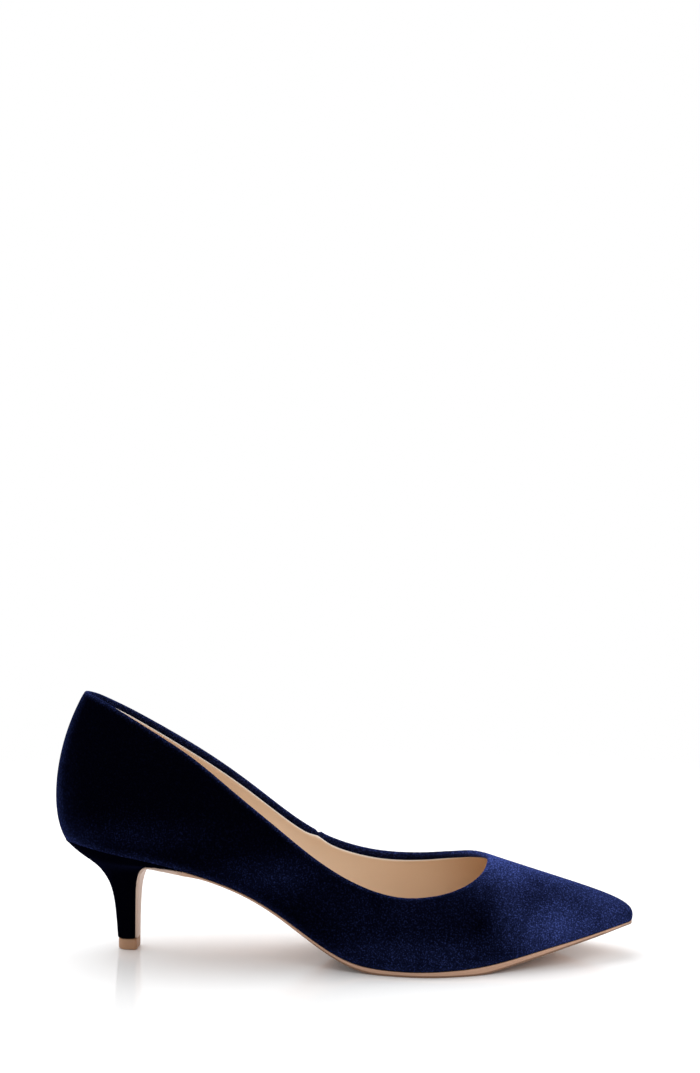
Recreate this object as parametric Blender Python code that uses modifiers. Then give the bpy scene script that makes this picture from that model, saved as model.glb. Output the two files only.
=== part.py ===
# Kitten heel pump, right shoe, standing empty on its sole.
# Table values are in millimetres in the shoe's own frame: x from the back of the heel to the toe,
# y to the inner (medial) side, z up from the floor. Objects are moved so that the box is centred.
import bmesh
import bpy
import numpy as np
from mathutils import Vector

# Overall sizes
MM = 0.001
FIT_GAP = 0.3
WALL = 1.9
FOLD_WIDTH = 3.6
FOLD_EXTRA = 0.4
FOLD_SLOPE = 0.35
INSOLE_THICK = 2.0
FLAP_THICK = 0.8
SOLE_START = 7
TOP_PIECE_TOP = 4.7
TOP_PIECE_BEVEL = 0.5
CENTRE_X = 127.25
CENTRE_Y = -0.35

# Sampling of the lofts
STEPS_PER_SECTION = 3
STEPS_PER_RING = 2
ACROSS = 5
RAY_STEPS = (0, 0.045, 0.10, 0.17, 0.25, 0.35, 0.47, 0.60, 0.73, 0.87, 1.0)
RIM_ANGLES = (0, 55, 125, 180)
RIM_ROUND = 0.6

# Columns of the section tables, one row per section from the heel to the toe.
# feather: where the upper meets the sole. topline: the folded upper edge.
# belly: how far the wall leans out over the feather line, and how high.
# along: share of the way back to the feather line that the top of the wall follows.
# shoulder: how far the wall bulges under the topline, and how low.
COLUMNS = ("feather_x", "feather_y", "feather_z", "topline_x", "topline_y", "topline_z",
           "belly_out", "belly_up", "along", "shoulder_out", "shoulder_down", "sole_thick")

BACK = (5.3, 0, 48.2, 13.4, 0, 112.7, 8.8, 14, 0, 12.0, 19, 0.9)
LATERAL = (
    (8.8, -11.5, 48.7, 16.6, -8.4, 112.3, 8.2, 14, 0, 11.5, 20, 0.9),
    (18.0, -19.8, 48.0, 22.6, -13.8, 110.6, 7.6, 14, 0, 10.5, 22, 0.9),
    (31.0, -24.0, 45.7, 33.9, -18.2, 105.2, 7.4, 14, 0, 9.5, 23, 0.9),
    (46.0, -25.0, 43.0, 50.0, -20.9, 96.0, 6.4, 13, 0, 7.5, 20, 0.9),
    (62.0, -24.2, 38.8, 66.6, -22.9, 85.5, 5.4, 12, 0, 5.0, 16, 0.8),
    (80.0, -23.2, 32.7, 84.0, -25.1, 71.7, 4.8, 11, 0, 3.0, 12, 0.8),
    (97.5, -24.4, 24.3, 100.0, -27.3, 59.3, 4.6, 10, 0, 2.2, 10, 1.0),
    (114.0, -28.0, 13.9, 114.5, -29.3, 48.2, 4.4, 9, 0.05, 2.2, 9, 1.4),
    (130.0, -32.2, 5.2, 128.0, -30.7, 39.7, 4.0, 9, 0.15, 2.6, 8, 1.8),
    (145.0, -36.0, 2.5, 141.0, -30.8, 33.8, 3.6, 9, 0.25, 3.2, 7.5, 2.4),
    (160.0, -38.3, 2.3, 153.0, -29.4, 30.7, 3.2, 9, 0.35, 3.6, 7, 2.4),
    (173.0, -37.3, 2.7, 163.0, -26.5, 30.2, 3.0, 9, 0.45, 3.8, 6, 2.6),
    (186.0, -33.5, 3.4, 171.5, -23.1, 30.9, 2.9, 9, 0.52, 3.6, 5, 3.2),
    (200.0, -27.4, 5.3, 178.2, -18.8, 32.3, 2.8, 9.5, 0.58, 3.0, 4.5, 2.6),
    (214.0, -21.0, 8.0, 183.0, -14.7, 33.9, 2.7, 9.5, 0.64, 2.2, 5, 2.3),
    (227.0, -14.6, 10.3, 186.6, -10.5, 35.7, 2.7, 9.5, 0.71, 1.2, 8.5, 1.7),
    (238.0, -8.4, 12.3, 189.0, -6.4, 37.4, 2.7, 9.3, 0.78, 0.4, 11.5, 1.5),
    (246.0, -3.2, 13.7, 190.4, -2.6, 39.2, 2.8, 9.2, 0.84, 0, 14, 1.2),
    (250.8, 1.3, 14.1, 191.1, 0.5, 40.4, 2.9, 9.2, 0.87, 0, 16, 1.1),
)
TIP = (253.3, 6.5, 14.0, 191.3, 3.2, 41.2, 2.9, 9.2, 0.88, 0, 17.2, 1.1)
MEDIAL = (
    (8.8, 11.5, 48.7, 16.7, 7.9, 110.9, 8.0, 14, 0, 10.6, 20, 0.9),
    (18.0, 19.8, 48.0, 22.6, 12.8, 107.5, 7.6, 14, 0, 9.8, 22, 0.9),
    (31.0, 23.8, 45.8, 32.6, 16.8, 101.9, 7.4, 14, 0, 9.0, 22, 0.9),
    (46.0, 24.0, 43.2, 48.5, 19.8, 92.6, 6.4, 13, 0, 7.5, 20, 0.9),
    (62.0, 21.9, 39.5, 65.0, 22.0, 82.3, 5.4, 12, 0, 5.0, 16, 0.8),
    (80.0, 19.6, 34.4, 83.0, 24.2, 69.4, 5.2, 11, 0, 3.0, 12, 0.8),
    (97.5, 19.0, 26.8, 100.0, 26.2, 56.0, 6.0, 10, 0, 2.4, 10, 1.0),
    (114.0, 21.2, 16.2, 114.5, 27.9, 46.4, 6.6, 9, 0.05, 2.4, 9, 1.4),
    (130.0, 25.4, 7.4, 128.5, 29.2, 40.7, 6.0, 9, 0.15, 2.6, 8, 1.8),
    (145.0, 30.4, 3.2, 142.0, 29.6, 37.9, 4.8, 9, 0.25, 3.2, 7.5, 2.9),
    (160.0, 34.8, 2.4, 154.0, 28.6, 37.4, 3.8, 9, 0.35, 3.6, 7, 2.4),
    (173.0, 37.2, 2.7, 163.5, 26.4, 38.0, 3.2, 9, 0.45, 3.8, 7, 2.6),
    (186.0, 37.6, 3.4, 171.0, 23.6, 39.1, 3.0, 9, 0.52, 3.6, 7.5, 3.2),
    (200.0, 35.6, 5.3, 177.0, 20.2, 40.2, 2.9, 9.5, 0.58, 3.0, 8.5, 2.6),
    (214.0, 31.6, 8.0, 181.8, 16.9, 41.2, 2.8, 9.5, 0.64, 2.2, 10, 2.2),
    (227.0, 26.6, 10.3, 185.4, 13.6, 41.7, 2.7, 9.5, 0.71, 1.2, 12, 1.7),
    (238.0, 21.1, 12.3, 188.2, 10.6, 41.8, 2.7, 9.3, 0.78, 0.4, 14, 1.5),
    (246.4, 15.9, 13.7, 190.0, 8.0, 41.7, 2.8, 9.2, 0.84, 0, 16, 1.2),
    (251.0, 11.5, 14.1, 191.0, 5.6, 41.5, 2.9, 9.2, 0.87, 0, 17, 1.1),
)

# Dip of the foot bed between its two edges, by x.
BED_DIP = ((5, 0), (20, 0.8), (45, 0.9), (75, 0.2), (110, 0), (140, 0.3), (180, 0.4), (225, 0), (254, 0))

# Heel rings, one row per ring from the seat down: rear x and z, front x and z,
# share of the seat's width, share of that width taken by the flat front.
HEEL_RINGS = (
    (5.3, 47.9, 60.5, 38.9, 1.0, 1.0),
    (7.3, 46.4, 60.0, 38.25, 0.98, 1.0),
    (10.6, 44.0, 54.0, 39.0, 0.92, 1.0),
    (14.3, 41.4, 48.5, 39.3, 0.82, 0.98),
    (17.8, 38.6, 44.2, 38.9, 0.69, 0.94),
    (20.6, 35.5, 41.2, 37.3, 0.54, 0.90),
    (22.9, 32.1, 39.0, 34.4, 0.41, 0.86),
    (24.7, 28.5, 37.7, 30.5, 0.315, 0.82),
    (26.0, 24.2, 37.0, 26.0, 0.26, 0.79),
    (26.9, 19.2, 36.75, 20.2, 0.225, 0.76),
    (27.5, 13.5, 36.6, 13.8, 0.205, 0.73),
    (28.2, 5.0, 36.5, 5.0, 0.195, 0.72),
)

# Top piece outline: rear x, front x, half width.
TOP_PIECE = (28.5, 37.4, 5.0)

# Material looks: colour, roughness, metallic.
LOOKS = {
    "velvet navy": ((0.010, 0.016, 0.060, 1), 0.85, 0.0),
    "velvet navy heel": ((0.006, 0.008, 0.026, 1), 0.85, 0.0),
    "sock beige": ((0.62, 0.42, 0.29, 1), 0.55, 0.0),
    "sole beige": ((0.50, 0.31, 0.20, 1), 0.5, 0.0),
    "top piece tan": ((0.36, 0.20, 0.10, 1), 0.5, 0.0),
}


def clear_scene():
    for item in list(bpy.data.objects):
        bpy.data.objects.remove(item, do_unlink=True)


def shoe_collection():
    group = bpy.data.collections.new("kitten heel pump")
    bpy.context.scene.collection.children.link(group)
    return group


def look(name):
    colour, rough, metal = LOOKS[name]
    mat = bpy.data.materials.new(name)
    mat.use_nodes = True
    shader = mat.node_tree.nodes["Principled BSDF"]
    shader.inputs["Base Color"].default_value = colour
    shader.inputs["Roughness"].default_value = rough
    shader.inputs["Metallic"].default_value = metal
    mat.diffuse_color = colour
    return mat


def closed_spline(rows, steps):
    # smooth closed curve through the rows, with the same number of steps between each two
    rows = np.array(rows, float)
    count = len(rows)
    system = np.zeros((count, count))
    for i in range(count):
        system[i, i] = 4
        system[i, (i - 1) % count] = 1
        system[i, (i + 1) % count] = 1
    right = 3 * (np.roll(rows, -1, axis=0) - np.roll(rows, 1, axis=0))
    slope = np.linalg.solve(system, right)
    out = []
    for i in range(count):
        a, b = rows[i], rows[(i + 1) % count]
        sa, sb = slope[i], slope[(i + 1) % count]
        for j in range(steps):
            t = j / steps
            h1 = 2 * t**3 - 3 * t**2 + 1
            h2 = t**3 - 2 * t**2 + t
            h3 = -2 * t**3 + 3 * t**2
            h4 = t**3 - t**2
            out.append(h1 * a + h2 * sa + h3 * b + h4 * sb)
    return np.array(out)


def open_spline(rows, steps):
    # smooth open curve through the rows
    rows = np.array(rows, float)
    count = len(rows)
    system = np.zeros((count, count))
    right = np.zeros_like(rows)
    for i in range(count):
        system[i, i] = 4 if 0 < i < count - 1 else 2
        if i > 0:
            system[i, i - 1] = 1
        if i < count - 1:
            system[i, i + 1] = 1
        right[i] = 3 * (rows[min(i + 1, count - 1)] - rows[max(i - 1, 0)])
    slope = np.linalg.solve(system, right)
    out = []
    for i in range(count - 1):
        for j in range(steps):
            t = j / steps
            h1 = 2 * t**3 - 3 * t**2 + 1
            h2 = t**3 - 2 * t**2 + t
            h3 = -2 * t**3 + 3 * t**2
            h4 = t**3 - t**2
            out.append(h1 * rows[i] + h2 * slope[i] + h3 * rows[i + 1] + h4 * slope[i + 1])
    out.append(rows[-1])
    return np.array(out)


def outward(loop):
    # outward plan normals of a closed loop that runs back, lateral side, toe, medial side
    step = np.roll(loop, -1, axis=0)[:, :2] - np.roll(loop, 1, axis=0)[:, :2]
    step /= np.linalg.norm(step, axis=1, keepdims=True)
    return np.stack([step[:, 1], -step[:, 0], np.zeros(len(loop))], axis=1)


def stations():
    # every section round the shoe, as a table with the named columns
    rows = [BACK] + list(LATERAL) + [TIP] + list(MEDIAL)[::-1]
    fine = closed_spline(rows, STEPS_PER_SECTION)
    return {name: fine[:, i] for i, name in enumerate(COLUMNS)}


def columns(table, *names):
    return np.stack([table[name] for name in names], axis=1)


def side_count(table):
    return len(table["feather_x"]) // 2


def foot_bed(table, x, y):
    # height of the foot bed, which is where the upper's lower rim lies
    half = side_count(table)
    lat = columns(table, "feather_x", "feather_y", "feather_z")[: half + 1]
    med = columns(table, "feather_x", "feather_y", "feather_z")
    med = np.concatenate([med[:1], med[half:][::-1]])
    yl = np.interp(x, lat[:, 0], lat[:, 1])
    ym = np.interp(x, med[:, 0], med[:, 1])
    zl = np.interp(x, lat[:, 0], lat[:, 2])
    zm = np.interp(x, med[:, 0], med[:, 2])
    share = np.clip((y - yl) / max(ym - yl, 0.01), 0, 1)
    dip = np.interp(x, [row[0] for row in BED_DIP], [row[1] for row in BED_DIP])
    return zl + (zm - zl) * share - dip * 4 * share * (1 - share)


def bezier(points, t):
    a, b, c, d = points
    s = 1 - t
    return s**3 * a + 3 * s * s * t * b + 3 * s * t * t * c + t**3 * d


def fold_share(points):
    # where on the ray the folded band under the topline begins
    t = np.linspace(0, 1, 200)[:, None]
    curve = bezier([p[None, :] for p in points], t)
    length = np.linalg.norm(np.diff(curve, axis=0), axis=1)
    left = length.sum() - np.concatenate([[0], np.cumsum(length)])
    return float(np.interp(-FOLD_WIDTH, -left, t[:, 0]))


def ray_controls(table):
    feather = columns(table, "feather_x", "feather_y", "feather_z")
    topline = columns(table, "topline_x", "topline_y", "topline_z")
    out_low = outward(feather)
    out_high = outward(topline)
    up = np.array([0, 0, 1.0])
    back_along = (feather - topline) * np.array([1, 1, 0])
    belly = feather + out_low * table["belly_out"][:, None] + up * table["belly_up"][:, None]
    shoulder = topline + back_along * table["along"][:, None]
    shoulder = shoulder + out_high * table["shoulder_out"][:, None]
    shoulder = shoulder - up * table["shoulder_down"][:, None]
    return np.stack([feather, belly, shoulder, topline], axis=1)


def outer_surface(table):
    # grid of the upper's outer face: one row per ray, from the feather line to the topline
    controls = ray_controls(table)
    grid = []
    for ray in controls:
        fold = fold_share(ray)
        grid.append([bezier(ray, fold * share) for share in RAY_STEPS] + [bezier(ray, 1.0)])
    return np.array(grid)


def grid_normals(grid):
    # outward normals of a grid that is closed round the shoe
    around = np.roll(grid, -1, axis=0) - np.roll(grid, 1, axis=0)
    rise = np.gradient(grid, axis=1)
    normal = np.cross(around, rise)
    return normal / np.linalg.norm(normal, axis=2, keepdims=True)


def add_mesh(name, verts, faces, mat, group):
    mesh = bpy.data.meshes.new(name)
    mesh.from_pydata([tuple(float(c) * MM for c in v) for v in verts], [], faces)
    mesh.validate()
    shape = bmesh.new()
    shape.from_mesh(mesh)
    bmesh.ops.remove_doubles(shape, verts=shape.verts, dist=0.00002)
    bmesh.ops.recalc_face_normals(shape, faces=shape.faces)
    shape.to_mesh(mesh)
    shape.free()
    for face in mesh.polygons:
        face.use_smooth = True
    item = bpy.data.objects.new(name, mesh)
    mesh.materials.append(mat)
    group.objects.link(item)
    item.location = Vector((-CENTRE_X * MM, -CENTRE_Y * MM, 0))
    return item


def loft_faces(rings, points, closed_rings=False):
    # quads between rings of the same number of points, each ring closed
    faces = []
    last = rings if closed_rings else rings - 1
    for i in range(last):
        for j in range(points):
            a = i * points + j
            b = i * points + (j + 1) % points
            c = ((i + 1) % rings) * points + (j + 1) % points
            d = ((i + 1) % rings) * points + j
            faces.append((a, b, c, d))
    return faces


def build_upper(table, group):
    outer = outer_surface(table)
    normal = grid_normals(outer)
    count, last = outer.shape[0], outer.shape[1] - 1
    rim_wall = WALL + FOLD_EXTRA
    feather_out = outward(outer[:, 0])
    loops = [outer[:, j] for j in range(last)]
    tangent = outer[:, last] - outer[:, last - 1]
    tangent /= np.linalg.norm(tangent, axis=1, keepdims=True)
    side = normal[:, last]
    middle = outer[:, last] - side * rim_wall / 2
    for angle in RIM_ANGLES:
        turn = np.radians(angle)
        loops.append(middle + side * np.cos(turn) * rim_wall / 2 + tangent * np.sin(turn) * RIM_ROUND)
    fold = outer[:, last - 1]
    fold_normal = normal[:, last - 1]
    loops.append(fold - fold_normal * rim_wall)
    loops.append(fold - fold_normal * WALL - tangent * FOLD_SLOPE)
    for j in range(last - 2, 0, -1):
        loops.append(outer[:, j] - normal[:, j] * WALL)
    inner_rim = outer[:, 0] - feather_out * WALL
    for i in range(count):
        inner_rim[i, 2] = foot_bed(table, inner_rim[i, 0], inner_rim[i, 1])
    loops.append(inner_rim)
    verts = np.concatenate(loops)
    faces = loft_faces(len(loops), count, closed_rings=True)
    return add_mesh("upper", verts, faces, look("velvet navy"), group)


def inset_loop(loop, distance):
    return loop - outward(loop) * distance


def bed_rows(table, inset, drop, first_x=None):
    # rows across the foot bed between facing points of the two sides, from the back to the toe
    half = side_count(table)
    loop = inset_loop(columns(table, "feather_x", "feather_y", "feather_z"), inset)
    rows = []
    for k in range(0, half + 1):
        a, b = loop[k], loop[-k % len(loop)]
        if first_x is not None and (a[0] + b[0]) / 2 < first_x:
            continue
        row = []
        for j in range(ACROSS + 1):
            x, y = (a + (b - a) * j / ACROSS)[:2]
            row.append((x, y, foot_bed(table, x, y) - drop))
        rows.append(row)
    return np.array(rows)


def sheet_faces(rows, points):
    faces = []
    for i in range(rows - 1):
        for j in range(points - 1):
            a = i * points + j
            faces.append((a, a + 1, a + points + 1, a + points))
    return faces


def build_insole(table, group):
    rows = bed_rows(table, WALL + FIT_GAP, 0)
    # the end rows are single points, so they close as fans once the doubles are merged
    verts = rows.reshape(-1, 3)
    faces = sheet_faces(len(rows), ACROSS + 1)
    item = add_mesh("insole", verts, faces, look("sock beige"), group)
    shape = bmesh.new()
    shape.from_mesh(item.data)
    for face in shape.faces:
        if face.normal.z > 0:
            face.normal_flip()
    shape.to_mesh(item.data)
    shape.free()
    board = item.modifiers.new("board", "SOLIDIFY")
    board.thickness = INSOLE_THICK * MM
    board.offset = -1
    board.use_even_offset = True
    return item


def heel_rings():
    # every ring from the seat down
    return open_spline(HEEL_RINGS, STEPS_PER_RING)


def breast_line():
    # the heel's front face from the wedge under the waist down to the top piece: x, z, width share
    rings = heel_rings()[2:]
    return np.stack([rings[:, 2], rings[:, 3], rings[:, 4] * rings[:, 5]], axis=1)


def side_edges(table, x):
    # the feather line's y on the lateral and on the medial side at this x
    half = side_count(table)
    feather = columns(table, "feather_x", "feather_y")
    medial = np.concatenate([feather[:1], feather[half:][::-1]])
    lateral = feather[: half + 1]
    return (np.interp(x, lateral[:, 0], lateral[:, 1]), np.interp(x, medial[:, 0], medial[:, 1]))


def cross_row(table, x):
    # points straight across the foot bed at this x, one gap below it
    y = np.linspace(*side_edges(table, x), ACROSS + 1)
    return np.array([(x, v, foot_bed(table, x, v) - FIT_GAP) for v in y])


def build_heel(table, group):
    rear, front = HEEL_RINGS[0][0], HEEL_RINGS[0][2]
    seat = [row for row in bed_rows(table, 0, FIT_GAP) if row[0][0] < front - 0.8]
    seat.append(cross_row(table, front))
    seat = np.array(seat)
    lateral, medial, across = seat[:, 0], seat[:, -1], seat[-1]
    ring = np.concatenate([lateral[::-1], medial[1:], across[-2:0:-1]])
    shares = (ring[:, 0] - rear) / (front - rear)
    at_front = shares > 0.999
    levels = heel_rings()
    seat_line = levels[0, 1] + (levels[0, 3] - levels[0, 1]) * shares
    loops = []
    for k, level in enumerate(levels):
        rear_x, rear_z, front_x, front_z, width, flat = level
        follow = np.where(at_front, max(1 - k / 2, 0), max(1 - k / 6, 0) ** 2)
        x = rear_x + (front_x - rear_x) * shares
        z = rear_z + (front_z - rear_z) * shares + (ring[:, 2] - seat_line) * follow
        # the corners draw in towards the flat front
        narrow = width * (1 - (1 - flat) * np.clip((shares - 0.72) / 0.28, 0, 1) ** 2)
        loops.append(np.stack([x, ring[:, 1] * narrow, z], axis=1))
    count = len(ring)
    faces = loft_faces(len(loops), count)
    verts = np.concatenate(loops)
    base = len(verts)
    foot = tuple(range(base - count, base))
    faces.append(foot)
    faces += [tuple(base + i for i in f) for f in sheet_faces(len(seat), ACROSS + 1)]
    verts = np.concatenate([verts, seat.reshape(-1, 3)])
    return add_mesh("heel", verts, faces, look("velvet navy heel"), group)


def path_normals(line):
    # normals of the breast line in the x z plane, pointing away from the heel
    step = np.gradient(line, axis=0)
    step /= np.linalg.norm(step, axis=1, keepdims=True)
    return np.stack([-step[:, 1], step[:, 0]], axis=1)


def sole_thickness(table, first_x):
    half = side_count(table)
    thick = table["sole_thick"]
    x = table["feather_x"]
    rows = []
    for k in range(half + 1):
        if (x[k] + x[-k % len(x)]) / 2 >= first_x:
            rows.append(np.linspace(thick[k], thick[-k % len(x)], ACROSS + 1))
    return np.array(rows)


def build_outsole(table, group):
    front = HEEL_RINGS[0][2]
    first_x = front + SOLE_START
    upside = bed_rows(table, 0, FIT_GAP, first_x)
    under = upside.copy()
    under[:, :, 2] = np.maximum(upside[:, :, 2] - sole_thickness(table, first_x), 0)
    upside, under = list(upside[::-1]), list(under[::-1])
    # the flap follows the heel's breast at one gap
    line = breast_line()
    away = path_normals(line[:, :2])
    if away[-1, 0] < 0:
        away = -away
    flap_up, flap_under = [], []
    wide = np.array(side_edges(table, front))
    for point, side in zip(line, away):
        y = np.linspace(*(wide * point[2]), ACROSS + 1)
        near = point[:2] + side * FIT_GAP
        far = point[:2] + side * (FIT_GAP + FLAP_THICK)
        flap_up.append(np.array([(near[0], v, near[1]) for v in y]))
        flap_under.append(np.array([(far[0], v, far[1]) for v in y]))
    # a small step meets the front edge of the heel's wedge
    step = cross_row(table, front + 0.7)
    low = step.copy()
    low[:, 0] = front + 0.4
    low[:, 2] = flap_up[0][:, 2] - 0.02
    for row in (step, low):
        share = ((row[:, 0] - flap_under[0][:, 0]) / (under[-1][:, 0] - flap_under[0][:, 0]))[:, None]
        beneath = flap_under[0] + (under[-1] - flap_under[0]) * share
        beneath[:, :2] = row[:, :2]
        upside.append(row)
        under.append(beneath)
    upside += flap_up
    under += flap_under
    loops = [np.concatenate([a, b[::-1]]) for a, b in zip(upside, under)]
    count = 2 * (ACROSS + 1)
    verts = np.concatenate(loops)
    faces = loft_faces(len(loops), count)
    base = len(verts) - count
    for j in range(ACROSS):
        faces.append((base + j, base + j + 1, base + count - 2 - j, base + count - 1 - j))
    return add_mesh("outsole", verts, faces, look("sole beige"), group)


def build_top_piece(group):
    rear, front, wide = TOP_PIECE
    turn = np.radians(np.linspace(90, 270, 13))
    back = rear + wide * 1.05
    outline = [(front, -wide * 0.86), (front, wide * 0.86), (front - 1.0, wide)]
    outline += [(back + np.cos(a) * wide * 1.05, np.sin(a) * wide) for a in turn]
    outline += [(front - 1.0, -wide)]
    verts = [(x, y, 0) for x, y in outline]
    item = add_mesh("top_piece", verts, [tuple(range(len(verts)))], look("top piece tan"), group)
    if item.data.polygons[0].normal.z > 0:
        item.data.flip_normals()
    block = item.modifiers.new("block", "SOLIDIFY")
    block.thickness = TOP_PIECE_TOP * MM
    block.offset = -1
    edge = item.modifiers.new("worn edge", "BEVEL")
    edge.width = TOP_PIECE_BEVEL * MM
    edge.segments = 2
    edge.limit_method = "ANGLE"
    edge.angle_limit = np.radians(50)
    return item


def main():
    clear_scene()
    group = shoe_collection()
    table = stations()
    build_upper(table, group)
    build_insole(table, group)
    build_outsole(table, group)
    build_heel(table, group)
    build_top_piece(group)


main()
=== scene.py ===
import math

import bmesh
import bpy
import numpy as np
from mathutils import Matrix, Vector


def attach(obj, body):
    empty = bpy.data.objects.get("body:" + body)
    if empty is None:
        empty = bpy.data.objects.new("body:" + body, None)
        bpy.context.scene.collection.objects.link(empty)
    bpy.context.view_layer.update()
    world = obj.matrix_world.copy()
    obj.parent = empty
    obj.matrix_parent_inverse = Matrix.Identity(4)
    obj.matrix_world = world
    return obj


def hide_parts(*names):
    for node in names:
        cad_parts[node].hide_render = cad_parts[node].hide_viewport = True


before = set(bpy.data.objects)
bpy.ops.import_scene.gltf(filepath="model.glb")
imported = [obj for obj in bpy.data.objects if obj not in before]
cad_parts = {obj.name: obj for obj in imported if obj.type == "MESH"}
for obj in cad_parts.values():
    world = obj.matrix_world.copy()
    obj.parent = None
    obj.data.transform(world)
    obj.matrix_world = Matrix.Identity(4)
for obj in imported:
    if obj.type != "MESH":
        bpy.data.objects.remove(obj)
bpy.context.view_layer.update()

# %% [markdown]
# A navy velvet pump with a kitten heel
#
# A pump is made round a last, a solid foot shape. The velvet upper is pulled over the last, glued
# under the insole board, and closed at the bottom by a thin outsole. The covered heel is screwed to
# the seat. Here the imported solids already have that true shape, so each cloth and leather piece
# starts as a copy of its solid. The copy gets a finer skin, soft folds and a finish of its own.

MM = 0.001

# %% [markdown]
# The camera first
#
# The photo shows the shoe's outer side with the toe to the right, from a little above the shoe and
# with the camera held level. Setting the camera before anything else means that every later look
# is judged from that place. The lens is worked out from the photo's height and from the focal
# length in pixels that fits the shoe's known size.

# %% Camera at the photo's angle
PHOTO_TALL = 1073
FOCAL_PIXELS = 1475.5
SENSOR_MM = 36.0
CAMERA_PLACE = (0.04262, -0.64254, 0.1808)
CAMERA_TURN_DEG = 3.5
NEAR_CLIP = 10 * MM

lens_data = bpy.data.cameras.new("photo camera")
camera = bpy.data.objects.new("photo camera", lens_data)
bpy.context.scene.collection.objects.link(camera)
camera.location = CAMERA_PLACE
camera.rotation_euler = (math.radians(90), 0, math.radians(CAMERA_TURN_DEG))
lens_data.lens = FOCAL_PIXELS / PHOTO_TALL * SENSOR_MM
lens_data.sensor_width = SENSOR_MM
lens_data.clip_start = NEAR_CLIP
bpy.context.scene.camera = camera
print("lens in mm:", round(lens_data.lens, 2))

# %% [markdown]
# Helpers for working as by hand
#
# Operators act on whatever is selected, so each step first clears the selection. A copy of a solid
# comes as loose triangles. Merging its doubles and joining triangles to four-sided faces gives a
# cage that a Subdivision Surface modifier can turn into a smooth skin.


# %% Selecting one piece
def take(piece):
    if bpy.context.object is not None and bpy.context.object.mode != "OBJECT":
        bpy.ops.object.mode_set(mode="OBJECT")
    bpy.ops.object.select_all(action="DESELECT")
    bpy.context.view_layer.objects.active = piece
    piece.select_set(True)


# %% A merged copy of a solid
MERGE = 0.01 * MM
ANY_ANGLE = math.pi
REGULARITY = (1.1, 1.0, 1.2, 1.3, 1.05, 1.15, 1.25, 1.4, 1.5, 0.9)


def loose_triangles(mesh):
    return sum(1 for face in mesh.polygons if len(face.vertices) == 3)


def joined_copy(node, name, regularity):
    piece = bpy.data.objects.new(name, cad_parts[node].data.copy())
    piece.data.name = name
    bpy.context.scene.collection.objects.link(piece)
    take(piece)
    bpy.ops.mesh.customdata_custom_splitnormals_clear()
    bpy.ops.object.mode_set(mode="EDIT")
    bpy.ops.mesh.select_all(action="SELECT")
    bpy.ops.mesh.remove_doubles(threshold=MERGE)
    bpy.ops.mesh.tris_convert_to_quads(
        face_threshold=ANY_ANGLE, shape_threshold=ANY_ANGLE, topology_influence=regularity
    )
    bpy.ops.mesh.select_all(action="DESELECT")
    bpy.ops.object.mode_set(mode="OBJECT")
    return piece


def cage_from(node, name):
    # tries a few settings of the join and keeps the one that leaves the fewest triangles
    tries = {}
    for regularity in REGULARITY:
        piece = joined_copy(node, name, regularity)
        tries[regularity] = loose_triangles(piece.data)
        if tries[regularity] == 0:
            break
        bpy.data.objects.remove(piece)
    else:
        piece = joined_copy(node, name, min(tries, key=tries.get))
    piece.name = name
    piece.data.materials.clear()
    print(name, "cage:", len(piece.data.polygons), "faces, triangles left:", min(tries.values()))
    return piece


# %% Applying modifiers and reading points
def apply_modifiers(piece):
    take(piece)
    for step in list(piece.modifiers):
        bpy.ops.object.modifier_apply(modifier=step.name)


def points_of(piece):
    flat = np.empty(len(piece.data.vertices) * 3)
    piece.data.vertices.foreach_get("co", flat)
    return flat.reshape(-1, 3)


def move_points(piece, points):
    piece.data.vertices.foreach_set("co", points.astype(np.float32).ravel())
    piece.data.update()


def normals_of(piece):
    flat = np.empty(len(piece.data.vertices) * 3, np.float32)
    piece.data.vertex_normals.foreach_get("vector", flat)
    return flat.reshape(-1, 3).astype(float)


def write_values(piece, name, values):
    # a value for each point, which the finishes read and modifiers carry along
    layer = piece.data.attributes.get(name) or piece.data.attributes.new(name, "FLOAT", "POINT")
    layer.data.foreach_set("value", np.asarray(values, np.float32))


def read_values(piece, name):
    values = np.empty(len(piece.data.vertices), np.float32)
    piece.data.attributes[name].data.foreach_get("value", values)
    return values.astype(float)


# %% Sharp edges that a smooth skin keeps
SKIN_LEVELS = 2


def crease_where(piece, keep, strength):
    # keep is asked about the two ends of each edge, by number
    layer = piece.data.attributes.get("crease_edge")
    layer = layer or piece.data.attributes.new("crease_edge", "FLOAT", "EDGE")
    count = 0
    for edge in piece.data.edges:
        if keep(*edge.vertices):
            layer.data[edge.index].value = strength
            count += 1
    return count


def crease_sharp(piece, degrees, strength):
    # edges whose two faces meet at more than this angle
    shape = bmesh.new()
    shape.from_mesh(piece.data)
    limit = math.radians(degrees)
    ends = set()
    for edge in shape.edges:
        if len(edge.link_faces) == 2 and edge.calc_face_angle() > limit:
            ends.add(frozenset(v.index for v in edge.verts))
    shape.free()
    return crease_where(piece, lambda a, b: frozenset((a, b)) in ends, strength)


def smooth_skin(piece, levels):
    skin = piece.modifiers.new("smooth skin", "SUBSURF")
    skin.levels = levels
    skin.render_levels = levels
    apply_modifiers(piece)
    take(piece)
    bpy.ops.object.shade_smooth()


# %% Soft forms: a round bump and an eased step
def bump_shape(distance, reach):
    return np.exp(-((distance / reach) ** 2))


def soft_step(values, start, end):
    share = np.clip((values - start) / (end - start), 0, 1)
    return share * share * (3 - 2 * share)


# %% [markdown]
# Reading the upper as rays
#
# The upper is one closed wall that runs round the foot, like a bent tyre. Walking straight on from
# face to face gives its topline, and from each point of the topline a ray that runs down the
# outside, under the edge and up the inside. Every fold and seam is then placed by how far a point
# lies along the topline and how far down the wall, in the shoe's own sizes.

# %% Walking over the cage
MOST_STEPS = 1000


def straight_on(edge, point):
    for other in point.link_edges:
        if other is not edge and not set(other.link_faces) & set(edge.link_faces):
            return other


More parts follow.
